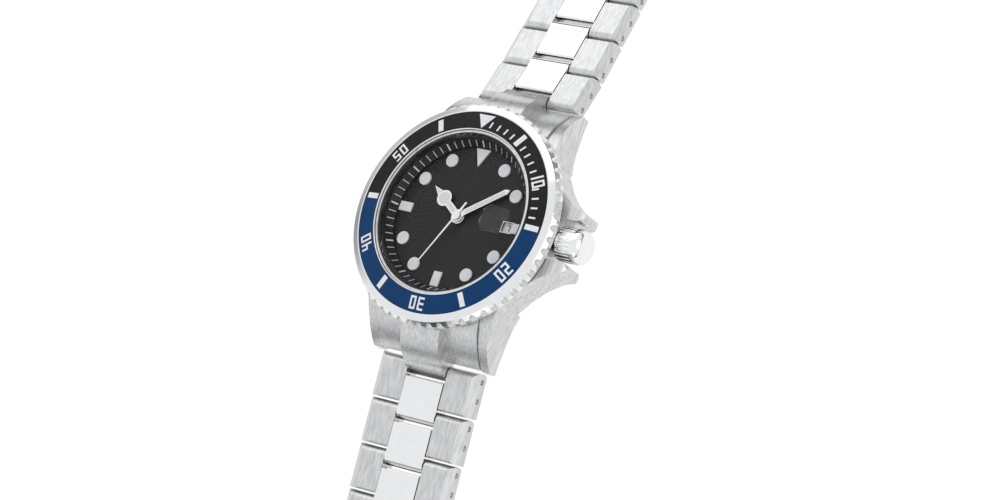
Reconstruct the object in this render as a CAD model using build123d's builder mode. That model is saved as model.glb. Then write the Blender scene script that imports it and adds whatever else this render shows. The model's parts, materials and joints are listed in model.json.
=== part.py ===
"""Dive watch with a turning bezel and a three-row steel bracelet, opened at the clasp.

Millimetres. +X is 3 o'clock, +Y is 12 o'clock and +Z leaves the dial. The origin is
the centre of the case back's outer face.
"""
from build123d import *
import os
from math import cos, radians, sin

os.makedirs("parts", exist_ok=True)

# ---------------------------------------------------------------- driving dimensions
# Case
CASE_R = 19.8            # round body of the case
CASE_BOTTOM = 1.2        # underside of the mid-case, above the case back's face
CASE_TOP = 8.2           # shoulder under the bezel
LUG_SPACE = 22.0         # width between the lugs
LUG_REACH = 24.3         # lug tips, from the centre
LUG_TIP_TOP = 1.7        # height of the lug tip's upper edge
LUG_TIP_BOTTOM = -0.2    # height of the lug tip's lower edge
LUG_TIP_HALF = 12.75     # outer side of the lug at its tip
LUG_ROOT = (14.5, 13.5)  # where the lug's outer side leaves the round body
GUARD_REACH = 24.3       # crown guards, from the centre
GUARD_GAP = 7.5          # opening between the crown guards
COLLAR_R = 15.35         # collar that the bezel turns on
COLLAR_TOP = 11.45
BORE_R = 14.95           # bore that holds the movement, dial and crystal
# Bezel
BEZEL_R = 20.9
BEZEL_GAP = 0.15         # between the case shoulder and the bezel
BEZEL_RUNNING = 0.08     # radial clearance on the collar
BEZEL_NOTCHES = 60
NOTCH_R = 0.62
NOTCH_BOTTOM = 9.15      # the notches stop above a smooth lower band
BEZEL_SHOULDER = 10.0    # top of the bezel's upright edge
BEZEL_BREAK = 10.75      # where its rounded edge meets the slope
INSERT_IN = 15.62
INSERT_OUT = 19.0
INSERT_THICK = 0.6
INSERT_Z_IN = 11.75      # top of the insert at its inner edge
INSERT_Z_OUT = 11.05     # top of the insert at its outer edge
CLICK_AT = 17.4          # click spring under the bezel, towards 6 o'clock
PEARL_R = 0.75
PEARL_AT = 17.55         # pearl, from the centre, at 12 o'clock
# Dial, crystal and hands
DIAL_R = 14.6
DIAL_TOP = 8.4
DIAL_THICK = 0.4
FLANGE_IN = 13.25        # foot of the sloping ring that carries the minute track
FLANGE_TOP = 10.2
CRYSTAL_R = 14.6
CRYSTAL_THICK = 1.65
MARKER_HEIGHT = 0.3
DOT_RING_R = 11.44       # ring of round markers
DOT_R = 1.2
BATON_AT = 11.7          # middle of the long markers
BATON = (1.7, 2.7)       # width and length of the long markers
STUB_AT = 12.25          # middle of the short marker beside the date window
STUB = (1.6, 1.8)
TRIANGLE_HALF = 1.5      # triangle at 12 o'clock
TRIANGLE_OUT = 13.0
TRIANGLE_TIP = 9.7
WINDOW = (2.1, 1.8)      # opening for the date
HAND_HOLE_R = 1.0        # hole for the hands' tubes
HOUR_LENGTH = 8.4
MINUTE_LENGTH = 10.9
SECONDS_LENGTH = 10.7
HOUR_ANGLE = 304.0       # clockwise from 12 o'clock, as the hands stand
MINUTE_ANGLE = 53.8
SECONDS_ANGLE = 204.4
WINDOW_AT = 10.3         # middle of the date window, towards 3 o'clock
# Back and movement
BACK_R = 17.0
GASKET_OUT = 16.25       # the back's gasket
GASKET_IN = 15.55
BACK_SPIGOT = 1.2        # height of the back's spigot inside the case
MOVEMENT_R = 12.7
PLATE_THICK = 1.1
# Crown
CROWN_R = 3.15
CROWN_Z = 5.4            # height of the crown's axis
CROWN_IN = 20.5          # inner face of the crown, pushed home
CROWN_LENGTH = 5.2
STEM_R = 0.6
TUBE_R = 1.4
# Bracelet
PITCH = 8.35             # from one link's pin to the next
LINK_HALF_THICK = 1.5
CENTRE_HALF = 4.13       # half width of the polished centre links
LINK_HALF = 10.9         # half width of the first link
TAPER = 0.15             # each link is this much narrower, each side
PIN_R = 0.5
NOSE_R = 1.3
SIDE_GAP = 0.15          # between the centre links and the outer links
SEAM = 0.3               # between two outer links in line
LINKS_12 = 7
LINKS_6 = 5
SLOPES_12 = (18.0,) + (13.6,) * (LINKS_12 - 1)   # how far each link leans down
SLOPES_6 = (10.0,) * LINKS_6
HINGE_Y = 26.0           # first link's pin
HINGE_Z = 0.1
BAR_R = 0.75             # spring bars between the lugs
BAR_Y = 20.9
BAR_Z = 2.7
# Clasp
CLASP_LENGTH = 37.4
CLASP_HALF = 10.0
CLASP_WALL = 0.9
CLASP_ROOF = 1.75        # inner face of the cover's roof, above the chain's middle line
CLASP_SKIRT = -1.9       # lower edge of the cover's side walls
BLADE_HALF = 6.5
BLADE_THICK = 0.8
KNUCKLE_R = 0.9
# Fits
FIT = 0.01               # pressed pieces, radial
RUN = 0.06               # turning pieces, radial

INSERT_SLOPE = (INSERT_Z_OUT - INSERT_Z_IN) / (INSERT_OUT - INSERT_IN)
DIAL_BOTTOM = DIAL_TOP - DIAL_THICK
CRYSTAL_BOTTOM = FLANGE_TOP + 0.05
CRYSTAL_TOP = CRYSTAL_BOTTOM + CRYSTAL_THICK
BACK_TOP = CASE_BOTTOM + BACK_SPIGOT
BEZEL_BOTTOM = CASE_TOP + BEZEL_GAP
BEZEL_BORE = COLLAR_R + BEZEL_RUNNING
PLATE_TOP = DIAL_BOTTOM - 0.7
PLATE_BOTTOM = PLATE_TOP - PLATE_THICK
LUG_IN = LUG_SPACE / 2


def save(part, name):
    """Label a finished piece and write its STEP file."""
    part.label = name
    export_step(part, f"parts/{name}.step")
    print(name, len(part.solids()), round(part.volume, 2))


def disc(radius, bottom, top, bore=0.0):
    """A plain round plate or ring about the watch's axis."""
    with BuildPart() as plate:
        with BuildSketch(Plane.XY.offset(bottom)):
            Circle(radius)
            if bore:
                Circle(bore, mode=Mode.SUBTRACT)
        extrude(amount=top - bottom)
    return plate.part


# ---------------------------------------------------------------- case
with BuildPart() as case:
    # The four lugs: their plan, cut to the side view.
    for side_x in (1, -1):
        for side_y in (1, -1):
            with BuildSketch(Plane.XY.offset(-2)):
                with BuildLine():
                    tip = (side_x * LUG_TIP_HALF, side_y * LUG_REACH)
                    root = (side_x * LUG_ROOT[0], side_y * LUG_ROOT[1])
                    waist = (side_x * (LUG_TIP_HALF + 0.4), side_y * 19.0)
                    ThreePointArc(tip, waist, root)
                    Polyline(root, (side_x * LUG_IN, side_y * 10), (side_x * LUG_IN, side_y * LUG_REACH), tip)
                make_face()
            extrude(amount=CASE_TOP + 4)
    with BuildSketch(Plane.YZ):
        with BuildLine():
            end_top = (LUG_REACH, LUG_TIP_TOP)
            end_top_6 = (-LUG_REACH, LUG_TIP_TOP)
            Line((-13, CASE_TOP), (13, CASE_TOP))
            ThreePointArc((13, CASE_TOP), (19.6, 6.1), end_top)
            Polyline(end_top, (LUG_REACH, LUG_TIP_BOTTOM), (20, 0.2), (15, CASE_BOTTOM))
            Line((15, CASE_BOTTOM), (-15, CASE_BOTTOM))
            Polyline((-15, CASE_BOTTOM), (-20, 0.2), (-LUG_REACH, LUG_TIP_BOTTOM), end_top_6)
            ThreePointArc(end_top_6, (-19.6, 6.1), (-13, CASE_TOP))
        make_face()
    extrude(amount=30, both=True, mode=Mode.INTERSECT)
    # Crown guards.
    for side_y in (1, -1):
        with BuildSketch(Plane.XY.offset(2.3)):
            with BuildLine():
                Polyline((14.5, side_y * 12.6), (18.7, side_y * 8.3), (21.6, side_y * 6.3),
                         (GUARD_REACH, side_y * 5.5), (GUARD_REACH, side_y * (GUARD_GAP / 2 + 0.5)),
                         (GUARD_REACH - 1.2, side_y * GUARD_GAP / 2), (13.0, side_y * GUARD_GAP / 2),
                         (14.5, side_y * 12.6))
            make_face()
        extrude(amount=CASE_TOP - 0.3 - 2.3)
    guard_tips = case.edges().group_by(Axis.X)[-1]
    chamfer(guard_tips, length=0.6)
    # Round body and the collar that the bezel turns on.
    with BuildSketch(Plane.XZ):
        with BuildLine():
            Polyline((0, CASE_BOTTOM), (CASE_R - 1.4, CASE_BOTTOM), (CASE_R, CASE_BOTTOM + 1.4),
                     (CASE_R, CASE_TOP - 0.5), (CASE_R - 0.5, CASE_TOP), (COLLAR_R, CASE_TOP),
                     (COLLAR_R, COLLAR_TOP), (0, COLLAR_TOP), (0, CASE_BOTTOM))
        make_face()
    revolve(axis=Axis.Z)
    with BuildSketch(Plane.XY.offset(CASE_BOTTOM)):
        Circle(BORE_R)
    extrude(amount=COLLAR_TOP, mode=Mode.SUBTRACT)
    # Seat of the case back's gasket.
    with BuildSketch(Plane.XY.offset(CASE_BOTTOM)):
        Circle(GASKET_OUT + 0.05)
        Circle(GASKET_IN - 0.05, mode=Mode.SUBTRACT)
    extrude(amount=0.5, mode=Mode.SUBTRACT)
    # Crown tube's hole, the bezel click's pocket and the blind holes of the spring bars.
    with BuildSketch(Plane.YZ.offset(14.0)):
        with Locations((0, CROWN_Z)):
            Circle(TUBE_R + FIT)
    extrude(amount=8, mode=Mode.SUBTRACT)
    with BuildSketch(Plane.XY.offset(CASE_TOP - 0.8)):
        with Locations((0, -CLICK_AT)):
            Rectangle(8.4, 1.5)
    extrude(amount=2, mode=Mode.SUBTRACT)
    for side_y in (1, -1):
        with BuildSketch(Plane.YZ):
            with Locations((side_y * BAR_Y, BAR_Z)):
                Circle(BAR_R + 0.05)
        extrude(amount=LUG_IN + 1.0, both=True, mode=Mode.SUBTRACT)
save(case.part, "case")

with BuildPart() as case_back:
    with BuildSketch():
        Circle(BACK_R)
    extrude(amount=CASE_BOTTOM)
    chamfer(case_back.edges().group_by(Axis.Z)[0], length=0.5)
    with BuildSketch(Plane.XY.offset(CASE_BOTTOM)):
        Circle(BORE_R - 0.1)
    extrude(amount=BACK_SPIGOT)
    # Six slots for the case key.
    with BuildSketch():
        with PolarLocations(15.3, 6):
            Rectangle(1.6, 2.4)
    extrude(amount=0.6, mode=Mode.SUBTRACT)
save(case_back.part, "case_back")

save(disc(GASKET_OUT, CASE_BOTTOM, CASE_BOTTOM + 0.48, GASKET_IN), "case_back_gasket")

# ---------------------------------------------------------------- crystal and dial
with BuildPart() as crystal:
    with BuildSketch(Plane.XY.offset(CRYSTAL_BOTTOM)):
        Circle(CRYSTAL_R)
    extrude(amount=CRYSTAL_THICK)
    chamfer(crystal.edges().group_by(Axis.Z)[-1], length=0.25)
save(crystal.part, "crystal")

with BuildPart() as date_magnifier:
    with BuildSketch(Plane.XY.offset(CRYSTAL_TOP)):
        with Locations((WINDOW_AT - 0.6, 0)):
            RectangleRounded(5.8, 5.0, 1.6)
    extrude(amount=0.45)
    fillet(date_magnifier.edges().group_by(Axis.Z)[-1], radius=0.35)
save(date_magnifier.part, "date_magnifier")

save(disc(BORE_R - FIT, CRYSTAL_BOTTOM, COLLAR_TOP - 0.15, CRYSTAL_R + FIT), "crystal_gasket")

with BuildPart() as dial_flange:
    with BuildSketch(Plane.XZ):
        with BuildLine():
            Polyline((FLANGE_IN, DIAL_TOP), (DIAL_R, DIAL_TOP), (DIAL_R, FLANGE_TOP),
                     (DIAL_R - 0.2, FLANGE_TOP), (FLANGE_IN, DIAL_TOP + 0.35), (FLANGE_IN, DIAL_TOP))
        make_face()
    revolve(axis=Axis.Z)
save(dial_flange.part, "dial_flange")

with BuildPart() as dial:
    with BuildSketch(Plane.XY.offset(DIAL_BOTTOM)):
        Circle(DIAL_R)
        Circle(HAND_HOLE_R, mode=Mode.SUBTRACT)
        with Locations((WINDOW_AT, 0)):
            Rectangle(*WINDOW, mode=Mode.SUBTRACT)
    extrude(amount=DIAL_THICK)
save(dial.part, "dial")

with BuildPart() as hour_markers:
    with BuildSketch(Plane.XY.offset(DIAL_TOP)):
        for hour in (1, 2, 4, 5, 7, 8, 10, 11):
            angle = radians(90 - 30 * hour)
            with Locations((DOT_RING_R * cos(angle), DOT_RING_R * sin(angle))):
                Circle(DOT_R)
        with Locations((-BATON_AT, 0)):
            Rectangle(BATON[1], BATON[0])
        with Locations((0, -BATON_AT)):
            Rectangle(*BATON)
        with Locations((STUB_AT, 0)):
            Rectangle(*STUB)
        with BuildLine():
            Polyline((-TRIANGLE_HALF, TRIANGLE_OUT), (TRIANGLE_HALF, TRIANGLE_OUT), (0, TRIANGLE_TIP),
                     (-TRIANGLE_HALF, TRIANGLE_OUT))
        make_face()
    extrude(amount=MARKER_HEIGHT)
save(hour_markers.part, "hour_markers")

# ---------------------------------------------------------------- movement
with BuildPart() as movement_holder:
    with BuildSketch(Plane.XY.offset(BACK_TOP)):
        Circle(BORE_R - 0.15)
        Circle(MOVEMENT_R + 0.1, mode=Mode.SUBTRACT)
    extrude(amount=DIAL_BOTTOM - BACK_TOP)
    with BuildSketch(Plane.YZ.offset(10)):
        with Locations((0, CROWN_Z)):
            Circle(STEM_R + 0.3)
    extrude(amount=6, mode=Mode.SUBTRACT)
save(movement_holder.part, "movement_holder")

with BuildPart() as movement_main_plate:
    with BuildSketch(Plane.XY.offset(PLATE_BOTTOM)):
        Circle(MOVEMENT_R)
        Circle(HAND_HOLE_R, mode=Mode.SUBTRACT)
    extrude(amount=PLATE_THICK)
    # Legs that stand the plate on the case back.
    with BuildSketch(Plane.XY.offset(BACK_TOP)):
        with PolarLocations(11.6, 3, start_angle=30):
            Circle(0.8)
    extrude(amount=PLATE_BOTTOM - BACK_TOP)
save(movement_main_plate.part, "movement_main_plate")

with BuildPart() as battery:
    with BuildSketch(Plane.XY.offset(BACK_TOP + 0.1)):
        with Locations((-5.2, -4.6)):
            Circle(4.75)
    extrude(amount=PLATE_BOTTOM - BACK_TOP - 0.2)
    chamfer(battery.edges().group_by(Axis.Z)[0], length=0.3)
save(battery.part, "battery")

with BuildPart() as stepping_motor_coil:
    with BuildSketch(Plane.XZ.offset(2)):
        with Locations((5.5, PLATE_BOTTOM - 1.1)):
            Circle(1.0)
    extrude(amount=6.5)
    with BuildSketch(Plane.XZ.offset(1.2)):
        with Locations((5.5, PLATE_BOTTOM - 1.05)):
            Rectangle(2.6, 2.0)
    extrude(amount=0.8)
    with BuildSketch(Plane.XZ.offset(8.5)):
        with Locations((5.5, PLATE_BOTTOM - 1.05)):
            Rectangle(2.6, 2.0)
    extrude(amount=0.8)
save(stepping_motor_coil.part, "stepping_motor_coil")

with BuildPart() as train_bridge:
    with BuildSketch(Plane.XY.offset(PLATE_BOTTOM - 2.6)):
        with Locations((0, 5.6)):
            RectangleRounded(13, 6.4, 1.5)
    extrude(amount=0.8)
    with BuildSketch(Plane.XY.offset(PLATE_BOTTOM - 1.8)):
        with Locations((-5.2, 6), (5.2, 6)):
            Circle(0.9)
    extrude(amount=1.8)
save(train_bridge.part, "train_bridge")

save(disc(12.3, PLATE_TOP + 0.05, DIAL_BOTTOM - 0.15, 8.4), "date_disc")


# ---------------------------------------------------------------- hands
def hand(outline, bottom, thick, tube_out, tube_in, tube_bottom):
    """A flat hand with its tube, on the watch's axis; outline draws it pointing to 12."""
    with BuildPart() as made:
        with BuildSketch(Plane.XY.offset(bottom)):
            outline()
            Circle(tube_out + 0.45)
        extrude(amount=thick)
        with BuildSketch(Plane.XY.offset(tube_bottom)):
            Circle(tube_out)
        extrude(amount=bottom - tube_bottom)
        if tube_in:
            with BuildSketch(Plane.XY.offset(tube_bottom - 1)):
                Circle(tube_in)
            extrude(amount=10, mode=Mode.SUBTRACT)
    return made.part


def hour_outline():
    with Locations((0, 2.2)):
        Rectangle(1.3, 4.4)
    with Locations((0, 5.0)):
        Circle(1.5)
    Polygon((-0.75, 6.0), (0.75, 6.0), (0, HOUR_LENGTH), align=None)


def minute_outline():
    Polygon((-0.55, 0), (0.55, 0), (0.5, MINUTE_LENGTH - 0.8), (0, MINUTE_LENGTH),
            (-0.5, MINUTE_LENGTH - 0.8), align=None)


def seconds_outline():
    Polygon((-0.2, -2.9), (0.2, -2.9), (0.12, SECONDS_LENGTH), (-0.12, SECONDS_LENGTH), align=None)


hour_hand = hand(hour_outline, 8.85, 0.18, 0.90, 0.66, 7.0)
save(Rot(0, 0, -HOUR_ANGLE) * hour_hand, "hour_hand")
minute_hand = hand(minute_outline, 9.2, 0.18, 0.60, 0.33, 6.6)
save(Rot(0, 0, -MINUTE_ANGLE) * minute_hand, "minute_hand")
seconds_hand = hand(seconds_outline, 9.55, 0.14, 0.27, 0.0, 6.3)
save(Rot(0, 0, -SECONDS_ANGLE) * seconds_hand, "seconds_hand")

# ---------------------------------------------------------------- bezel
with BuildPart() as bezel:
    with BuildSketch(Plane.XZ):
        with BuildLine():
            edge = 0.02
            floor_in = INSERT_Z_IN - INSERT_THICK - FIT - INSERT_SLOPE * edge
            floor_out = INSERT_Z_OUT - INSERT_THICK - FIT + INSERT_SLOPE * edge
            Polyline((BEZEL_BORE, BEZEL_BOTTOM), (BEZEL_R - 0.8, BEZEL_BOTTOM), (BEZEL_R, BEZEL_BOTTOM + 0.7),
                     (BEZEL_R, BEZEL_SHOULDER), (BEZEL_R - 0.6, BEZEL_BREAK), (INSERT_OUT + 0.25, INSERT_Z_OUT + 0.1),
                     (INSERT_OUT + edge, INSERT_Z_OUT + 0.1), (INSERT_OUT + edge, floor_out),
                     (INSERT_IN - edge, floor_in), (INSERT_IN - edge, INSERT_Z_IN + 0.05),
                     (BEZEL_BORE, INSERT_Z_IN + 0.05), (BEZEL_BORE, BEZEL_BOTTOM))
        make_face()
    revolve(axis=Axis.Z)
    with BuildSketch(Plane.XY.offset(NOTCH_BOTTOM)):
        with PolarLocations(BEZEL_R + 0.1, BEZEL_NOTCHES, start_angle=3):
            Circle(NOTCH_R)
    extrude(amount=3, mode=Mode.SUBTRACT)
save(bezel.part, "bezel")

with BuildPart() as bezel_insert:
    with BuildSketch(Plane.XZ):
        with BuildLine():
            Polyline((INSERT_IN, INSERT_Z_IN - INSERT_THICK), (INSERT_OUT, INSERT_Z_OUT - INSERT_THICK),
                     (INSERT_OUT, INSERT_Z_OUT), (INSERT_IN, INSERT_Z_IN), (INSERT_IN, INSERT_Z_IN - INSERT_THICK))
        make_face()
    revolve(axis=Axis.Z)
    with BuildSketch(Plane.XY.offset(10)):
        with Locations((0, PEARL_AT)):
            Circle(PEARL_R + FIT)
    extrude(amount=3, mode=Mode.SUBTRACT)
save(bezel_insert.part, "bezel_insert")

with BuildPart() as bezel_pearl:
    pearl_floor = INSERT_Z_IN - INSERT_THICK + INSERT_SLOPE * (PEARL_AT - PEARL_R - INSERT_IN)
    with BuildSketch(Plane.XY.offset(pearl_floor + 0.01)):
        with Locations((0, PEARL_AT)):
            Circle(PEARL_R)
    extrude(amount=0.62)
    fillet(bezel_pearl.edges().group_by(Axis.Z)[-1], radius=0.2)
save(bezel_pearl.part, "bezel_pearl")

with BuildPart() as bezel_click_spring:
    with BuildSketch(Plane.XY.offset(CASE_TOP - 0.8)):
        with Locations((0, -CLICK_AT)):
            Rectangle(8.0, 1.1)
    extrude(amount=0.5)
    with BuildSketch(Plane.XY.offset(CASE_TOP - 0.3)):
        with Locations((3.2, -CLICK_AT)):
            Rectangle(0.8, 1.1)
    extrude(amount=0.25)
save(bezel_click_spring.part, "bezel_click_spring")


# ---------------------------------------------------------------- crown
def along_x(start, length, radius, bore=0.0):
    """A round bar or tube on the crown's axis."""
    with BuildPart() as bar:
        with BuildSketch(Plane.YZ.offset(start)):
            with Locations((0, CROWN_Z)):
                Circle(radius)
                if bore:
                    Circle(bore, mode=Mode.SUBTRACT)
        extrude(amount=length)
    return bar.part


CROWN_BORE = TUBE_R + 0.4
CROWN_DEPTH = 2.3
save(along_x(BORE_R + 0.3, 6.7, TUBE_R, STEM_R + RUN), "crown_tube")

with BuildPart() as crown:
    with BuildSketch(Plane.YZ.offset(CROWN_IN)):
        with Locations((0, CROWN_Z)):
            Circle(CROWN_R)
    extrude(amount=CROWN_LENGTH)
    fillet(crown.edges().group_by(Axis.X)[-1], radius=1.6)
    chamfer(crown.edges().group_by(Axis.X)[0], length=0.25)
    with BuildSketch(Plane.YZ.offset(CROWN_IN + 0.45)):
        with Locations((0, CROWN_Z)):
            with PolarLocations(CROWN_R + 0.05, 28):
                Circle(0.2)
    extrude(amount=2.7, mode=Mode.SUBTRACT)
    with BuildSketch(Plane.YZ.offset(CROWN_IN)):
        with Locations((0, CROWN_Z)):
            Circle(CROWN_BORE)
    extrude(amount=CROWN_DEPTH, mode=Mode.SUBTRACT)
    with BuildSketch(Plane.YZ.offset(CROWN_IN)):
        with Locations((0, CROWN_Z)):
            Circle(STEM_R + FIT)
    extrude(amount=CROWN_DEPTH + 1.0, mode=Mode.SUBTRACT)
save(crown.part, "crown")

GROOVE_AT = 10.6
with BuildPart() as stem:
    with BuildSketch(Plane.YZ.offset(7.6)):
        with Locations((0, CROWN_Z)):
            Circle(STEM_R)
    extrude(amount=CROWN_IN + CROWN_DEPTH + 1.0 - 7.6)
    with BuildSketch(Plane.YZ.offset(GROOVE_AT)):
        with Locations((0, CROWN_Z)):
            Circle(STEM_R + 1)
            Circle(STEM_R - 0.2, mode=Mode.SUBTRACT)
    extrude(amount=0.7, mode=Mode.SUBTRACT)
save(stem.part, "stem")

save(along_x(CROWN_IN + 0.2, 0.6, CROWN_BORE - FIT, TUBE_R + RUN), "crown_gasket")

with BuildPart() as setting_lever:
    with BuildSketch(Plane.YZ.offset(GROOVE_AT + 0.15)):
        with Locations((0, CROWN_Z - 0.75)):
            Rectangle(2.6, 2.3)
        with Locations((0, CROWN_Z)):
            Circle(STEM_R - 0.2 + RUN, mode=Mode.SUBTRACT)
        with Locations((0, CROWN_Z + 0.6)):
            Rectangle(2 * (STEM_R - 0.2 + RUN), 1.2, mode=Mode.SUBTRACT)
    extrude(amount=0.4)
save(setting_lever.part, "setting_lever")

# ---------------------------------------------------------------- end links and their bars
with BuildPart() as case_spring_bars:
    for side_y in (1, -1):
        with BuildSketch(Plane.YZ):
            with Locations((side_y * BAR_Y, BAR_Z)):
                Circle(BAR_R)
        extrude(amount=LUG_IN + 0.9, both=True)
save(case_spring_bars.part, "case_spring_bars")


def end_link(side_y):
    """The fixed link between two lugs; side_y is 1 at 12 o'clock and -1 at 6 o'clock."""
    def at(y, z):
        return (side_y * y, z)

    nose = HINGE_Y + NOSE_R * cos(radians(20))
    nose_z = HINGE_Z + NOSE_R * sin(radians(20))
    with BuildPart() as made:
        with BuildSketch(Plane.YZ):
            with BuildLine():
                ThreePointArc(at(16.0, 8.0), at(20.6, 6.0), at(24.15, 2.2))
                Polyline(at(24.15, 2.2), at(24.15, 0.9), at(19, 1.3), at(14, 1.3), at(14, 8.0), at(16.0, 8.0))
            make_face()
        extrude(amount=LUG_IN - 0.08, both=True)
        with BuildSketch(Plane.YZ):
            with BuildLine():
                Line(at(14, 8.1), at(19.4, 8.1))
                ThreePointArc(at(19.4, 8.1), at(23.6, 6.3), at(25.9, 3.5))
                Polyline(at(25.9, 3.5), at(26.5, 3.1), at(26.75, 2.2), at(nose, nose_z))
                ThreePointArc(at(nose, nose_z), at(HINGE_Y + NOSE_R * 0.7071, HINGE_Z - NOSE_R * 0.7071),
                              at(HINGE_Y, HINGE_Z - NOSE_R))
                Polyline(at(HINGE_Y, HINGE_Z - NOSE_R), at(24.0, 0.6), at(14, 1.3), at(14, 8.1))
            make_face()
        extrude(amount=CENTRE_HALF, both=True)
        with BuildSketch(Plane.XY.offset(-3)):
            Circle(CASE_R + 0.05)
        extrude(amount=15, mode=Mode.SUBTRACT)
        with BuildSketch(Plane.YZ):
            with Locations(at(BAR_Y, BAR_Z)):
                Circle(BAR_R + 0.05)
            with Locations(at(HINGE_Y, HINGE_Z)):
                Circle(PIN_R + RUN)
        extrude(amount=20, both=True, mode=Mode.SUBTRACT)
    return made.part


save(end_link(1), "end_link_12")
save(end_link(-1), "end_link_6")


# ---------------------------------------------------------------- bracelet
def chain(side_y, slopes):
    """The links' planes: each lies at its pin, local x along the bracelet and y outwards."""
    planes = []
    y = side_y * HINGE_Y
    z = HINGE_Z
    for slope in slopes:
        along = (0, side_y * cos(radians(slope)), -sin(radians(slope)))
        planes.append(Plane(origin=(0, y, z), x_dir=along, z_dir=(side_y, 0, 0)))
        y += PITCH * along[1]
        z += PITCH * along[2]
    along = (0, side_y * cos(radians(slopes[-1])), -sin(radians(slopes[-1])))
    planes.append(Plane(origin=(0, y, z), x_dir=along, z_dir=(side_y, 0, 0)))
    return planes


FIXED_PIN_AT = 3.4
OUTER_END = PITCH - LINK_HALF_THICK - SEAM


def outers(plane, half):
    """Both outer pieces of one link, with the pin it turns on and the pin of its centre."""
    thick = LINK_HALF_THICK
    section = Plane(origin=plane.from_local_coords((-thick, 0, 0)).to_tuple(), x_dir=(1, 0, 0),
                    z_dir=plane.x_dir.to_tuple())
    up = 1 if section.y_dir.Z > 0 else -1
    inner = CENTRE_HALF + SIDE_GAP
    with BuildPart() as made:
        for side_x in (1, -1):
            with BuildSketch(section):
                with BuildLine():
                    Polyline((side_x * inner, -up * thick), (side_x * inner, up * thick),
                             (side_x * (half - 1.3), up * thick), (side_x * half, up * 0.55),
                             (side_x * half, -up * 1.15), (side_x * (half - 0.35), -up * thick),
                             (side_x * inner, -up * thick))
                make_face()
            extrude(amount=thick + OUTER_END)
        with BuildSketch(plane):
            with BuildLine():
                ThreePointArc((0, thick), (-thick, 0), (0, -thick))
                Polyline((0, -thick), (OUTER_END - 0.3, -thick), (OUTER_END, -thick + 0.3),
                         (OUTER_END, thick - 0.35), (OUTER_END - 0.35, thick), (0, thick))
            make_face()
        extrude(amount=half + 1, both=True, mode=Mode.INTERSECT)
        with BuildSketch(plane):
            with Locations((0, 0), (FIXED_PIN_AT, 0)):
                Circle(PIN_R + FIT)
        extrude(amount=half + 1, both=True, mode=Mode.SUBTRACT)
        with BuildSketch(plane):
            with Locations((0, 0), (FIXED_PIN_AT, 0)):
                Circle(PIN_R)
        extrude(amount=half - 0.3, both=True)
    return made.part


def centre(plane):
    """The polished centre piece, whose rounded nose carries the next link's pin."""
    top = LINK_HALF_THICK + 0.1
    with BuildPart() as made:
        with BuildSketch(plane):
            with BuildLine():
                Polyline((1.6, -NOSE_R), (1.6, top - 0.3), (1.9, top), (PITCH - 1.05, top))
                ThreePointArc((PITCH - 1.05, top), (PITCH + 1.0, 0.93), (PITCH + NOSE_R, 0))
                ThreePointArc((PITCH + NOSE_R, 0), (PITCH + NOSE_R * 0.7071, -NOSE_R * 0.7071),
                              (PITCH, -NOSE_R))
                Line((PITCH, -NOSE_R), (1.6, -NOSE_R))
            make_face()
            with Locations((PITCH, 0)):
                Circle(PIN_R + RUN, mode=Mode.SUBTRACT)
            with Locations((FIXED_PIN_AT, 0)):
                Circle(PIN_R + FIT, mode=Mode.SUBTRACT)
        extrude(amount=CENTRE_HALF, both=True)
    return made.part


planes_12 = chain(1, SLOPES_12)
planes_6 = chain(-1, SLOPES_6)
for name, planes, count in (("12", planes_12, LINKS_12), ("6", planes_6, LINKS_6)):
    for index in range(count):
        save(outers(planes[index], LINK_HALF - TAPER * index), f"link_{name}_{index + 1}_outers")
        save(centre(planes[index]), f"link_{name}_{index + 1}_centre")

# ---------------------------------------------------------------- clasp
clasp = planes_6[-1]
CLASP_START = -0.9
ROOF_TOP = CLASP_ROOF + CLASP_WALL
BLADE_HINGE = (35.6, 0.3)
FOLD_HINGE = (5.2, -0.35)
BLADE_END = 33.4
FLAP_HINGE = (30.5, ROOF_TOP + 0.55)
FLAP_KNUCKLE = 0.45
FLAP_PIN_R = 0.22
EAR_HALF = 3.0
LIP_END = 1.5            # the flap's lip stays above the blades as they swing out

with BuildPart() as clasp_cover:
    with BuildSketch(clasp):
        with BuildLine():
            Polyline((CLASP_START, CLASP_SKIRT + 1.2), (CLASP_START, ROOF_TOP - 0.5), (CLASP_START + 0.5, ROOF_TOP),
                     (CLASP_LENGTH - 0.5, ROOF_TOP), (CLASP_LENGTH, ROOF_TOP - 0.5),
                     (CLASP_LENGTH, CLASP_SKIRT + 1.2), (CLASP_LENGTH - 1.2, CLASP_SKIRT),
                     (CLASP_START + 1.2, CLASP_SKIRT), (CLASP_START, CLASP_SKIRT + 1.2))
        make_face()
    extrude(amount=CLASP_HALF, both=True)
    with BuildSketch(clasp):
        with Locations((CLASP_LENGTH / 2, CLASP_ROOF - 5)):
            Rectangle(CLASP_LENGTH + 10, 10)
    extrude(amount=CLASP_HALF - CLASP_WALL, both=True, mode=Mode.SUBTRACT)
    # Ear of the safety flap's hinge.
    with BuildSketch(clasp):
        with Locations((FLAP_HINGE[0], ROOF_TOP + 0.2)):
            Rectangle(2 * FLAP_KNUCKLE, 0.7)
        with Locations(FLAP_HINGE):
            Circle(FLAP_KNUCKLE)
    extrude(amount=EAR_HALF, both=True)
    with BuildSketch(clasp):
        with Locations(FLAP_HINGE):
            Circle(FLAP_PIN_R + RUN)
        with Locations(BLADE_HINGE, (0, 0), (4.2, 0), (8.0, 0)):
            Circle(PIN_R + FIT)
    extrude(amount=CLASP_HALF + 1, both=True, mode=Mode.SUBTRACT)
    # Pin that the outer blade turns on.
    with BuildSketch(clasp):
        with Locations(BLADE_HINGE):
            Circle(PIN_R)
    extrude(amount=CLASP_HALF - 0.2, both=True)
save(clasp_cover.part, "clasp_cover")

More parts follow.
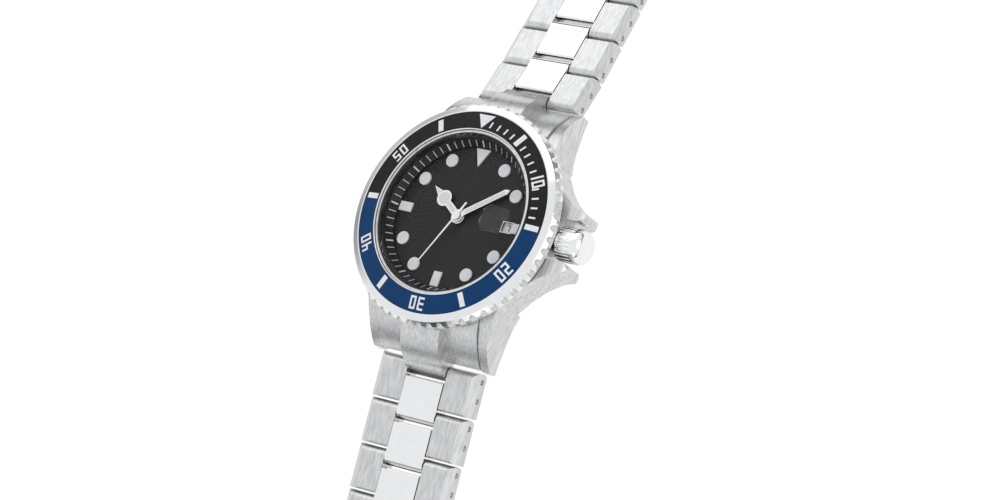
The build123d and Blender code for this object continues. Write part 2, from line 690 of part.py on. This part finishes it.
with BuildPart() as clasp_spring_bar:
    with BuildSketch(clasp):
        Circle(PIN_R)
    extrude(amount=CLASP_HALF - 0.2, both=True)
save(clasp_spring_bar.part, "clasp_spring_bar")

with BuildPart() as clasp_blade_outer:
    blade_low = BLADE_HINGE[1] - BLADE_THICK / 2
    with BuildSketch(clasp):
        with Locations(((BLADE_HINGE[0] + FOLD_HINGE[0]) / 2, BLADE_HINGE[1])):
            Rectangle(BLADE_HINGE[0] - FOLD_HINGE[0], BLADE_THICK)
        with Locations(BLADE_HINGE):
            Circle(KNUCKLE_R)
    extrude(amount=BLADE_HALF, both=True)
    with BuildSketch(clasp):
        with Locations(FOLD_HINGE):
            Circle(KNUCKLE_R)
    extrude(amount=BLADE_HALF, both=True)
    with BuildSketch(clasp):
        with Locations(FOLD_HINGE):
            Circle(KNUCKLE_R + 0.25)
    extrude(amount=3.1, both=True, mode=Mode.SUBTRACT)
    with BuildSketch(clasp):
        with Locations(BLADE_HINGE):
            Circle(PIN_R + RUN)
        with Locations(FOLD_HINGE):
            Circle(PIN_R + FIT)
    extrude(amount=BLADE_HALF + 1, both=True, mode=Mode.SUBTRACT)
    with BuildSketch(clasp):
        with Locations(FOLD_HINGE):
            Circle(PIN_R)
    extrude(amount=BLADE_HALF - 0.1, both=True)
save(clasp_blade_outer.part, "clasp_blade_outer")

with BuildPart() as clasp_blade_inner:
    inner_level = FOLD_HINGE[1] - 0.75
    with BuildSketch(clasp):
        with Locations(((FOLD_HINGE[0] + BLADE_END) / 2 + 0.8, inner_level)):
            Rectangle(BLADE_END - FOLD_HINGE[0] - 1.6, BLADE_THICK - 0.1)
    extrude(amount=BLADE_HALF - 0.4, both=True)
    with BuildSketch(clasp):
        with Locations((FOLD_HINGE[0] + 1.2, inner_level)):
            Rectangle(2.4, BLADE_THICK - 0.1)
        with Locations(FOLD_HINGE, (BLADE_END, inner_level + 0.1)):
            Circle(KNUCKLE_R - 0.05)
    extrude(amount=2.9, both=True)
    with BuildSketch(clasp):
        with Locations(FOLD_HINGE, (BLADE_END, inner_level + 0.1)):
            Circle(PIN_R + RUN)
    extrude(amount=BLADE_HALF, both=True, mode=Mode.SUBTRACT)
save(clasp_blade_inner.part, "clasp_blade_inner")

with BuildPart() as safety_flap:
    lip = CLASP_LENGTH + 0.3
    with BuildSketch(clasp):
        with BuildLine():
            flap_low = FLAP_HINGE[1] - 0.3
            flap_high = FLAP_HINGE[1] + 0.3
            Polyline((FLAP_HINGE[0], flap_low), (lip, flap_low), (lip, LIP_END), (lip + 0.6, LIP_END),
                     (lip + 0.6, flap_high - 0.5), (lip + 0.1, flap_high), (FLAP_HINGE[0], flap_high),
                     (FLAP_HINGE[0], flap_low))
        make_face()
        with Locations(FLAP_HINGE):
            Circle(FLAP_KNUCKLE)
    extrude(amount=CLASP_HALF - 0.4, both=True)
    with BuildSketch(clasp):
        with Locations(FLAP_HINGE):
            Rectangle(2.6, 2.6)
    extrude(amount=EAR_HALF + 0.15, both=True, mode=Mode.SUBTRACT)
    with BuildSketch(clasp):
        with Locations(FLAP_HINGE):
            Circle(FLAP_PIN_R + FIT)
    extrude(amount=CLASP_HALF, both=True, mode=Mode.SUBTRACT)
    with BuildSketch(clasp):
        with Locations(FLAP_HINGE):
            Circle(FLAP_PIN_R)
    extrude(amount=CLASP_HALF - 0.5, both=True)
save(safety_flap.part, "safety_flap")
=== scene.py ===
"""Looks of the dive watch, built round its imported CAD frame. Metres, in the CAD's frame."""
import json
from math import cos, hypot, pi, radians, sin

import bmesh
import bpy
from mathutils import Matrix, Vector


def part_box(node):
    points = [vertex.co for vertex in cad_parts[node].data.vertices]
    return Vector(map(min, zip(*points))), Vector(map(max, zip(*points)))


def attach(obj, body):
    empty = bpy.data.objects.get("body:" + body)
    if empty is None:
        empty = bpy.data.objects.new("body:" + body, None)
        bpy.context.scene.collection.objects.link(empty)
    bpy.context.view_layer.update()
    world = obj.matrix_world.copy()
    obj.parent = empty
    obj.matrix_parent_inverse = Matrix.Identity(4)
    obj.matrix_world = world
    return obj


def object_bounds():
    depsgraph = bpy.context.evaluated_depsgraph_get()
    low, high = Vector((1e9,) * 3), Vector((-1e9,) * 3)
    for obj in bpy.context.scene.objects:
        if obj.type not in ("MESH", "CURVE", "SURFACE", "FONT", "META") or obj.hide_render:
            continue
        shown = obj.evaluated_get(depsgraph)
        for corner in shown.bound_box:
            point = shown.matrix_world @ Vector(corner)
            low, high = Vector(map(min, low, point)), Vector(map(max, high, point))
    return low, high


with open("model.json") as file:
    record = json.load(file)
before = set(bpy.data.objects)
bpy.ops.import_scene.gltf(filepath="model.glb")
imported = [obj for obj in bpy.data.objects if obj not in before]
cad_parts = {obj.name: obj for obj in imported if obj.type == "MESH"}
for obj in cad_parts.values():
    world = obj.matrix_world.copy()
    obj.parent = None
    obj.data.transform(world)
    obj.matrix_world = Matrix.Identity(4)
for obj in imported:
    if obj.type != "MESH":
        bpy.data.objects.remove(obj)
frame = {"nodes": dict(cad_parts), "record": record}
cad_low, cad_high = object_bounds()
nodes = frame["nodes"]
MM = 0.001

# ---------------------------------------------------------------- places taken from the frame
dial_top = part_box("dial")[1].z
insert_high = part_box("bezel_insert")[1]
flange_low, flange_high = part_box("dial_flange")
floor_z = cad_low.z

INSERT_IN = 15.62 * MM      # inner edge of the bezel's insert
INSERT_DROP = 0.7 * MM      # how far its outer edge lies below its inner edge
INSERT_FALL = INSERT_DROP / (insert_high.x - INSERT_IN)
PRINT_AT = 17.3 * MM        # middle of the insert's numbers and bars
FLANGE_IN = 13.25 * MM      # foot and top of the dial's sloping flange
FLANGE_OUT = 14.4 * MM
FLANGE_FOOT = flange_low.z + 0.35 * MM
WINDOW_AT = 10.3 * MM       # middle of the date window, towards 3 o'clock
HOUR_ANGLE = 304.0          # the hands as they stand, clockwise from 12 o'clock
MINUTE_ANGLE = 53.8


# ---------------------------------------------------------------- node helpers
class Tree:
    """A short way to write a material's nodes."""

    def __init__(self, name):
        self.material = bpy.data.materials.new(name)
        self.material.use_nodes = True
        self.tree = self.material.node_tree
        self.shader = self.tree.nodes["Principled BSDF"]

    def add(self, kind, **values):
        node = self.tree.nodes.new(kind)
        for key, value in values.items():
            setattr(node, key, value)
        return node

    def link(self, out, into):
        self.tree.links.new(out, into)

    def position(self, scale):
        """Object coordinates, stretched by scale."""
        coordinates = self.add("ShaderNodeTexCoord")
        mapping = self.add("ShaderNodeMapping")
        mapping.inputs["Scale"].default_value = scale
        self.link(coordinates.outputs["Object"], mapping.inputs["Vector"])
        return mapping.outputs["Vector"]

    def noise(self, vector, scale=1.0, detail=4.0):
        texture = self.add("ShaderNodeTexNoise")
        texture.inputs["Scale"].default_value = scale
        texture.inputs["Detail"].default_value = detail
        self.link(vector, texture.inputs["Vector"])
        return texture.outputs["Fac"]

    def ramp(self, factor, low, high, start=0.3, end=0.7):
        """Grey or colour ramp between two colours."""
        node = self.add("ShaderNodeValToRGB")
        node.color_ramp.elements[0].position = start
        node.color_ramp.elements[1].position = end
        node.color_ramp.elements[0].color = (*low, 1)
        node.color_ramp.elements[1].color = (*high, 1)
        self.link(factor, node.inputs["Fac"])
        return node.outputs["Color"]

    def spread(self, factor, low, high):
        """A number between low and high."""
        node = self.add("ShaderNodeMapRange")
        node.inputs["To Min"].default_value = low
        node.inputs["To Max"].default_value = high
        self.link(factor, node.inputs["Value"])
        return node.outputs["Result"]

    def bump(self, height, strength, distance):
        node = self.add("ShaderNodeBump")
        node.inputs["Strength"].default_value = strength
        node.inputs["Distance"].default_value = distance
        self.link(height, node.inputs["Height"])
        self.link(node.outputs["Normal"], self.shader.inputs["Normal"])

    def set(self, **values):
        for key, value in values.items():
            self.shader.inputs[key.replace("_", " ")].default_value = value


GRAIN_DEPTH = 0.02 * MM     # depth of a paint's texture and of the steel's brushing
BRUSH_DEPTH = 0.03 * MM


def grey(value):
    return (value, value, value)


def brushed(name, scale, low=0.52, high=0.66, rough=(0.24, 0.36)):
    """Steel with a long grain; scale is small along the grain."""
    t = Tree(name)
    grain = t.noise(t.position(scale), 1.0, 6.0)
    t.link(t.ramp(grain, grey(low), grey(high)), t.shader.inputs["Base Color"])
    t.link(t.spread(grain, *rough), t.shader.inputs["Roughness"])
    t.bump(grain, 0.12, BRUSH_DEPTH)
    t.set(Metallic=1.0)
    return t.material


def polished(name, tone=0.72, rough=(0.05, 0.12)):
    """Bright steel with faint handling marks."""
    t = Tree(name)
    marks = t.noise(t.position((600, 600, 600)), 1.0, 8.0)
    t.link(t.ramp(marks, grey(tone * 0.96), grey(tone)), t.shader.inputs["Base Color"])
    t.link(t.spread(marks, *rough), t.shader.inputs["Roughness"])
    t.set(Metallic=1.0)
    return t.material


def painted(name, low, high, rough=(0.35, 0.5), scale=900, bump=0.0):
    """A coloured surface with a fine mottle."""
    t = Tree(name)
    mottle = t.noise(t.position(grey(scale)), 1.0, 5.0)
    t.link(t.ramp(mottle, low, high), t.shader.inputs["Base Color"])
    t.link(t.spread(mottle, *rough), t.shader.inputs["Roughness"])
    if bump:
        t.bump(mottle, bump, GRAIN_DEPTH)
    return t.material


def sunburst(name):
    """Black dial whose brushed rays run out from the centre."""
    t = Tree(name)
    coordinates = t.add("ShaderNodeTexCoord")
    parts = t.add("ShaderNodeSeparateXYZ")
    t.link(coordinates.outputs["Object"], parts.inputs["Vector"])
    angle = t.add("ShaderNodeMath", operation="ARCTAN2")
    t.link(parts.outputs["Y"], angle.inputs[0])
    t.link(parts.outputs["X"], angle.inputs[1])
    joined = t.add("ShaderNodeCombineXYZ")
    t.link(angle.outputs["Value"], joined.inputs["X"])
    rays = t.noise(joined.outputs["Vector"], 60.0, 6.0)
    t.link(t.ramp(rays, grey(0.006), grey(0.02)), t.shader.inputs["Base Color"])
    t.link(t.spread(rays, 0.32, 0.5), t.shader.inputs["Roughness"])
    t.set(Specular_IOR_Level=0.25)
    return t.material


def insert_enamel(name):
    """Gloss insert: black on the 12 o'clock half and blue on the 6 o'clock half."""
    t = Tree(name)
    coordinates = t.add("ShaderNodeTexCoord")
    parts = t.add("ShaderNodeSeparateXYZ")
    t.link(coordinates.outputs["Object"], parts.inputs["Vector"])
    half = t.add("ShaderNodeMath", operation="GREATER_THAN")
    half.inputs[1].default_value = 0.0
    t.link(parts.outputs["Y"], half.inputs[0])
    mottle = t.noise(t.position(grey(700)), 1.0, 4.0)
    blue = t.ramp(mottle, (0.0, 0.036, 0.125), (0.001, 0.046, 0.15))
    black = t.ramp(mottle, grey(0.008), grey(0.014))
    mix = t.add("ShaderNodeMix", data_type="RGBA")
    t.link(half.outputs["Value"], mix.inputs["Factor"])
    t.link(blue, mix.inputs["A"])
    t.link(black, mix.inputs["B"])
    t.link(mix.outputs["Result"], t.shader.inputs["Base Color"])
    t.link(t.spread(mottle, 0.3, 0.42), t.shader.inputs["Roughness"])
    t.set(Specular_IOR_Level=0.15)
    return t.material


def glass(name, index):
    """Clear crystal that lets light straight through; a higher index reflects more."""
    t = Tree(name)
    clear = t.add("ShaderNodeBsdfTransparent")
    gloss = t.add("ShaderNodeBsdfGlossy")
    haze = t.noise(t.position(grey(400)), 1.0, 2.0)
    t.link(t.spread(haze, 0.02, 0.04), gloss.inputs["Roughness"])
    edge = t.add("ShaderNodeFresnel")
    edge.inputs["IOR"].default_value = index
    mix = t.add("ShaderNodeMixShader")
    t.link(edge.outputs["Fac"], mix.inputs["Fac"])
    t.link(clear.outputs["BSDF"], mix.inputs[1])
    t.link(gloss.outputs["BSDF"], mix.inputs[2])
    t.link(mix.outputs["Shader"], t.tree.nodes["Material Output"].inputs["Surface"])
    return t.material


GRAIN_Y = (2600, 60, 2600)
GRAIN_X = (60, 2600, 2600)
MATERIALS = {
    "case": brushed("case_brushed", GRAIN_Y, 0.5, 0.72),
    "links": brushed("link_brushed", GRAIN_Y, 0.5, 0.7),
    "clasp": brushed("clasp_brushed", GRAIN_Y, 0.5, 0.7),
    "polished": polished("steel_polished", 0.84),
    "bezel": polished("bezel_polished", 0.8, (0.06, 0.14)),
    "plain": brushed("steel_turned", GRAIN_X, 0.4, 0.5),
    "rubber": painted("rubber", grey(0.012), grey(0.03), (0.5, 0.7)),
    "glass": glass("crystal_clear", 1.1),
    "magnifier": glass("magnifier_clear", 1.3),
    "insert": insert_enamel("insert_enamel"),
    "dial": sunburst("dial_sunburst"),
    "flange": painted("flange_satin", grey(0.006), grey(0.014), (0.3, 0.45)),
    "lume": painted("lume_paint", grey(0.78), grey(0.86), (0.5, 0.7), 1500, 0.1),
    "hands": polished("hand_polished", 0.82, (0.1, 0.2)),
    "white_ink": painted("white_ink", grey(0.8), grey(0.88), (0.45, 0.6), 2000),
    "black_ink": painted("black_ink", grey(0.01), grey(0.02), (0.45, 0.6), 2000),
    "date": painted("date_paint", grey(0.75), grey(0.82), (0.5, 0.65), 1200),
    "holder": painted("holder_plastic", grey(0.6), grey(0.68), (0.4, 0.55), 800, 0.1),
    "brass": painted("brass_plate", (0.5, 0.38, 0.16), (0.6, 0.47, 0.22), (0.3, 0.4), 1200),
    "copper": painted("coil_wire", (0.4, 0.13, 0.05), (0.55, 0.2, 0.08), (0.3, 0.45), 1800, 0.3),
}
for metal in ("brass", "copper"):
    MATERIALS[metal].node_tree.nodes["Principled BSDF"].inputs["Metallic"].default_value = 1.0

FINISH_OF_SLOT = {
    "brushed_steel": "links", "polished_steel": "polished", "plain_steel": "plain",
    "gasket_rubber": "rubber", "crystal_glass": "glass", "insert_enamel": "insert",
    "dial_black": "dial", "flange_black": "flange", "lume_white": "lume", "hand_steel": "hands",
    "date_white": "date", "holder_plastic": "holder", "movement_brass": "brass",
    "coil_copper": "copper", "battery_steel": "plain",
}
FINISH_OF_NODE = {
    "case": "case", "end_link_12": "case", "end_link_6": "case", "bezel": "bezel",
    "clasp_cover": "clasp", "safety_flap": "clasp", "date_magnifier": "magnifier",
}


def dress_frame():
    """Give every CAD node its finish."""
    slot_of = {row["node"]: row["material_slot"] for row in frame["record"]["subparts"]}
    for name, node in nodes.items():
        finish = FINISH_OF_NODE.get(name, FINISH_OF_SLOT[slot_of[name]])
        node.data.materials.clear()
        node.data.materials.append(MATERIALS[finish])
        for polygon in node.data.polygons:
            polygon.material_index = 0


# ---------------------------------------------------------------- printed and inlaid pieces
def printed(name, quads, place, thick, body, finish):
    """Thin solid patches. quads are 4-corner outlines in a flat frame, which place(u, v) maps to
    a point on the surface; each patch stands thick above it."""
    mesh = bmesh.new()
    steps = 6
    for corners in quads:
        grid = []
        a, b, c, d = corners
        for i in range(steps + 1):
            s = i / steps
            left = (a[0] + (d[0] - a[0]) * s, a[1] + (d[1] - a[1]) * s)
            right = (b[0] + (c[0] - b[0]) * s, b[1] + (c[1] - b[1]) * s)
            grid.append([place(*left), place(*right)])
        low = [[mesh.verts.new(p - Vector((0, 0, thick * 0.5))) for p in row] for row in grid]
        top = [[mesh.verts.new(p + Vector((0, 0, thick))) for p in row] for row in grid]
        for i in range(steps):
            mesh.faces.new((top[i][0], top[i][1], top[i + 1][1], top[i + 1][0]))
            mesh.faces.new((low[i][0], low[i + 1][0], low[i + 1][1], low[i][1]))
            mesh.faces.new((top[i][0], top[i + 1][0], low[i + 1][0], low[i][0]))
            mesh.faces.new((top[i + 1][1], top[i][1], low[i][1], low[i + 1][1]))
        mesh.faces.new((top[0][1], top[0][0], low[0][0], low[0][1]))
        mesh.faces.new((top[-1][0], top[-1][1], low[-1][1], low[-1][0]))
    bmesh.ops.recalc_face_normals(mesh, faces=mesh.faces)
    data = bpy.data.meshes.new(name)
    mesh.to_mesh(data)
    mesh.free()
    piece = bpy.data.objects.new(name, data)
    bpy.context.scene.collection.objects.link(piece)
    data.materials.append(MATERIALS[finish])
    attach(piece, body)
    return piece


def bar(u0, v0, u1, v1):
    """A rectangle as four corners."""
    return ((u0, v0), (u1, v0), (u1, v1), (u0, v1))


def rotated(minute):
    """Radial and tangential directions at a minute of the dial, clockwise from 12."""
    angle = radians(90 - 6 * minute)
    return Vector((cos(angle), sin(angle), 0)), Vector((sin(angle), -cos(angle), 0))


def on_insert(minute, radius):
    """Maps (right, outward) about a place on the sloping insert to a point on it."""
    radial, across = rotated(minute)

    def place(u, v):
        point = radial * (radius + v) + across * u
        fall = (hypot(point.x, point.y) - INSERT_IN) * INSERT_FALL
        return Vector((point.x, point.y, insert_high.z - fall))
    return place


def on_flange(minute):
    """Maps (right, outward) to the slope of the dial's flange; v runs from 0 at its foot to 1."""
    radial, across = rotated(minute)

    def place(u, v):
        point = radial * (FLANGE_IN + (FLANGE_OUT - FLANGE_IN) * v) + across * u
        return Vector((point.x, point.y, FLANGE_FOOT + (flange_high.z - FLANGE_FOOT) * v))
    return place


# Squared numerals: the strokes that each digit has, of a seven-stroke figure.
STROKES = {
    "0": "abcdef", "1": "bc", "2": "abged", "3": "abgcd", "4": "fgbc", "5": "afgcd",
    "6": "afgcde", "7": "abc", "8": "abcdefg", "9": "abfgcd",
}


def digit(figure, left, width, height, stroke):
    """The strokes of one figure as rectangles, its middle at v = 0."""
    right = left + width
    top = height / 2
    half = stroke / 2
    bars = {
        "a": (left, top - stroke, right, top),
        "d": (left, -top, right, -top + stroke),
        "g": (left, -half, right, half),
        "f": (left, 0, left + stroke, top),
        "e": (left, -top, left + stroke, 0),
        "b": (right - stroke, 0, right, top),
        "c": (right - stroke, -top, right, 0),
    }
    return [bar(*bars[stroke_name]) for stroke_name in STROKES[figure]]


def figures(text, width, height, stroke, gap):
    """A number centred on u = 0."""
    total = len(text) * width + (len(text) - 1) * gap
    quads = []
    for index, figure in enumerate(text):
        quads += digit(figure, -total / 2 + index * (width + gap), width, height, stroke)
    return quads


def bezel_print():
    """Numbers, bars and minute marks of the turning bezel."""
    ink = 0.03 * MM
    bar_half = (0.5 * MM, 1.25 * MM)
    mark_half = 0.16 * MM
    for minute in (10, 20, 30, 40, 50):
        quads = figures(str(minute), 1.25 * MM, 2.3 * MM, 0.36 * MM, 0.45 * MM)
        printed(f"bezel_number_{minute}", quads, on_insert(minute, PRINT_AT), ink,
                "turning_bezel", "white_ink")
    for minute in (5, 15, 25, 35, 45, 55):
        printed(f"bezel_bar_{minute}", [bar(-bar_half[0], -bar_half[1], *bar_half)],
                on_insert(minute, PRINT_AT), ink, "turning_bezel", "white_ink")
    for minute in range(1, 15):
        if minute % 5:
            printed(f"bezel_mark_{minute}", [bar(-mark_half, -1.1 * MM, mark_half, 0.1 * MM)],
                    on_insert(minute, PRINT_AT), ink, "turning_bezel", "white_ink")
    # The triangle at 60, with its flat side outwards.
    tip = (0, -1.45 * MM)
    left = (-1.75 * MM, 1.25 * MM)
    right = (1.75 * MM, 1.25 * MM)
    printed("bezel_triangle", [(left, right, tip, tip)], on_insert(0, PRINT_AT), ink,
            "turning_bezel", "white_ink")


def flange_print():
    """Minute track on the sloping flange."""
    for minute in range(60):
        half = (0.14 if minute % 5 == 0 else 0.07) * MM
        printed(f"minute_mark_{minute}", [bar(-half, 0.06, half, 0.8)], on_flange(minute),
                0.02 * MM, "watch_case", "white_ink")


def flat(height, angle=0.0):
    """Maps (right, up) on a level face, turned clockwise from 12 o'clock by angle degrees."""
    turn = Matrix.Rotation(radians(-angle), 3, "Z")

    def place(u, v):
        return turn @ Vector((u, v, 0)) + Vector((0, 0, height))
    return place


def hand_inlays():
    """White inlay of the hour and minute hands."""
    hour_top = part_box("hour_hand")[1].z
    minute_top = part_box("minute_hand")[1].z
    thick = 0.03 * MM
    radius, centre = 1.12 * MM, 5.0 * MM
    circle = []
    sides = 24
    for i in range(sides):
        a, b = 2 * pi * i / sides, 2 * pi * (i + 1) / sides
        circle.append(((0, centre), (radius * sin(a), centre + radius * cos(a)),
                       (radius * sin(b), centre + radius * cos(b)), (0, centre)))
    stem_bar = [bar(-0.36 * MM, 1.5 * MM, 0.36 * MM, 3.7 * MM)]
    tip = [((-0.4 * MM, 6.5 * MM), (0.4 * MM, 6.5 * MM),
            (0.05 * MM, 7.9 * MM), (-0.05 * MM, 7.9 * MM))]
    printed("hour_hand_inlay", circle + stem_bar + tip, flat(hour_top, HOUR_ANGLE), thick,
            "hour", "lume")
    strip = [bar(-0.33 * MM, 1.6 * MM, 0.33 * MM, 9.9 * MM)]
    printed("minute_hand_inlay", strip, flat(minute_top, MINUTE_ANGLE), thick,
            "minute", "lume")


def date_numbers():
    """The days on the date disc, each upright when it stands in the window."""
    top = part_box("date_disc")[1].z
    days = 31
    shown = 7
    for day in range(1, days + 1):
        turn = Matrix.Rotation(2 * pi * (day - shown) / days, 3, "Z")

        def place(u, v, turn=turn):
            return turn @ Vector((WINDOW_AT + u, v, top))
        quads = figures(str(day), 0.62 * MM, 1.15 * MM, 0.17 * MM, 0.14 * MM)
        printed(f"date_{day}", quads, place, 0.02 * MM, "date", "black_ink")


def window_frame():
    """Thin white frame printed round the date window."""
    half_x, half_y, line = 1.05 * MM, 0.9 * MM, 0.14 * MM
    quads = [bar(-half_x - line, half_y, half_x + line, half_y + line),
             bar(-half_x - line, -half_y - line, half_x + line, -half_y),
             bar(-half_x - line, -half_y, -half_x, half_y),
             bar(half_x, -half_y, half_x + line, half_y)]

    def place(u, v):
        return Vector((WINDOW_AT + u, v, dial_top))
    printed("date_frame", quads, place, 0.04 * MM, "watch_case", "white_ink")


# ---------------------------------------------------------------- stage, light and camera
def shown_to_camera(tree, lit, seen):
    """Shows one shader to camera, glossy and transmission rays, and lights with the other."""
    rays = tree.nodes.new("ShaderNodeLightPath")
    shown = rays.outputs["Is Camera Ray"]
    for kind in ("Is Glossy Ray", "Is Transmission Ray"):
        either = tree.nodes.new("ShaderNodeMath")
        either.operation = "MAXIMUM"
        tree.links.new(shown, either.inputs[0])
        tree.links.new(rays.outputs[kind], either.inputs[1])
        shown = either.outputs["Value"]
    mix = tree.nodes.new("ShaderNodeMixShader")
    tree.links.new(shown, mix.inputs["Fac"])
    tree.links.new(lit, mix.inputs[1])
    tree.links.new(seen, mix.inputs[2])
    return mix.outputs["Shader"]


def studio_walls(tree):
    """What polished steel mirrors: dim at the horizon, bright overhead, with soft patches."""
    coordinates = tree.nodes.new("ShaderNodeTexCoord")
    parts = tree.nodes.new("ShaderNodeSeparateXYZ")
    tree.links.new(coordinates.outputs["Generated"], parts.inputs["Vector"])
    patches = tree.nodes.new("ShaderNodeTexNoise")
    patches.inputs["Scale"].default_value = 1.6
    patches.inputs["Detail"].default_value = 0.0
    tree.links.new(coordinates.outputs["Generated"], patches.inputs["Vector"])
    height = tree.nodes.new("ShaderNodeMath")
    height.operation = "MULTIPLY_ADD"
    height.inputs[1].default_value = 1.1
    tree.links.new(patches.outputs["Fac"], height.inputs[0])
    tree.links.new(parts.outputs["Z"], height.inputs[2])
    walls = tree.nodes.new("ShaderNodeValToRGB")
    walls.color_ramp.elements[0].position = 0.5
    walls.color_ramp.elements[0].color = (0.08, 0.083, 0.09, 1)
    walls.color_ramp.elements[1].position = 1.0
    walls.color_ramp.elements[1].color = (0.98, 0.99, 1, 1)
    tree.links.new(height.outputs["Value"], walls.inputs["Fac"])
    return walls.outputs["Color"]


def make_world():
    """A white studio; glossy rays see its walls in place of plain white."""
    world = bpy.data.worlds.new("studio")
    bpy.context.scene.world = world
    world.use_nodes = True
    tree = world.node_tree
    lit = tree.nodes["Background"]
    lit.inputs["Color"].default_value = (0.94, 0.96, 1, 1)
    lit.inputs["Strength"].default_value = 0.8
    seen = tree.nodes.new("ShaderNodeBackground")
    rays = tree.nodes.new("ShaderNodeLightPath")
    colour = tree.nodes.new("ShaderNodeMix")
    colour.data_type = "RGBA"
    tree.links.new(rays.outputs["Is Glossy Ray"], colour.inputs["Factor"])
    colour.inputs["A"].default_value = (1, 1, 1, 1)
    tree.links.new(studio_walls(tree), colour.inputs["B"])
    tree.links.new(colour.outputs["Result"], seen.inputs["Color"])
    mixed = shown_to_camera(tree, lit.outputs[0], seen.outputs[0])
    tree.links.new(mixed, tree.nodes["World Output"].inputs["Surface"])


def make_floor():
    """A white floor that keeps a soft shadow."""
    size = 4.0
    bpy.ops.mesh.primitive_plane_add(size=size, location=(0, 0, floor_z - 0.0002))
    floor = bpy.context.object
    floor.name = "floor"
    material = bpy.data.materials.new("floor_white")
    material.use_nodes = True
    tree = material.node_tree
    lit = tree.nodes["Principled BSDF"]
    lit.inputs["Base Color"].default_value = (0.8, 0.8, 0.8, 1)
    lit.inputs["Roughness"].default_value = 0.8
    glow = tree.nodes.new("ShaderNodeEmission")
    glow.inputs["Strength"].default_value = 0.86
    both = tree.nodes.new("ShaderNodeAddShader")
    faint = tree.nodes.new("ShaderNodeBsdfDiffuse")
    faint.inputs["Color"].default_value = (0.25, 0.25, 0.25, 1)
    tree.links.new(glow.outputs[0], both.inputs[0])
    tree.links.new(faint.outputs[0], both.inputs[1])
    mixed = shown_to_camera(tree, lit.outputs[0], both.outputs[0])
    tree.links.new(mixed, tree.nodes["Material Output"].inputs["Surface"])
    floor.data.materials.append(material)


def soft_box(name, place, size, power, tint=(1, 1, 1)):
    """A square lamp that looks at the watch."""
    data = bpy.data.lights.new(name, "AREA")
    data.size = size
    data.energy = power
    data.color = tint
    lamp = bpy.data.objects.new(name, data)
    lamp.location = place
    lamp.rotation_mode = "QUATERNION"
    lamp.rotation_quaternion = (-Vector(place)).to_track_quat("-Z", "Y")
    bpy.context.scene.collection.objects.link(lamp)


def make_camera():
    """Looks down at the watch from beyond its crown, turned so that 12 o'clock is up and right."""
    azimuth, elevation, roll = radians(70.24), radians(52.96), radians(-53.68)
    distance = 0.534
    aim = Vector((4.59, -2.03, 0)) * MM
    back = Vector((sin(azimuth) * cos(elevation), -cos(azimuth) * cos(elevation), sin(elevation)))
    level_right = Vector((0, 0, 1)).cross(back).normalized()
    level_up = back.cross(level_right)
    up = level_up * cos(roll) - level_right * sin(roll)
    right = up.cross(back)
    data = bpy.data.cameras.new("camera")
    data.lens = 109.1
    data.sensor_width = 36.0
    data.clip_start = 0.01      # metres; the watch is small
    camera = bpy.data.objects.new("camera", data)
    turn = Matrix((right, up, back)).transposed()
    camera.matrix_world = Matrix.Translation(aim + back * distance) @ turn.to_4x4()
    bpy.context.scene.collection.objects.link(camera)
    bpy.context.scene.camera = camera


make_camera()
make_world()
make_floor()
soft_box("key", (-0.3, 0.7, 0.6), 0.8, 1.2)
soft_box("side", (0.7, 0.1, 0.4), 0.6, 0.8)
soft_box("low", (0.1, -0.8, 0.25), 0.5, 0.4)
dress_frame()
bezel_print()
flange_print()
hand_inlays()
date_numbers()
window_frame()
bpy.context.scene.view_settings.view_transform = "Standard"
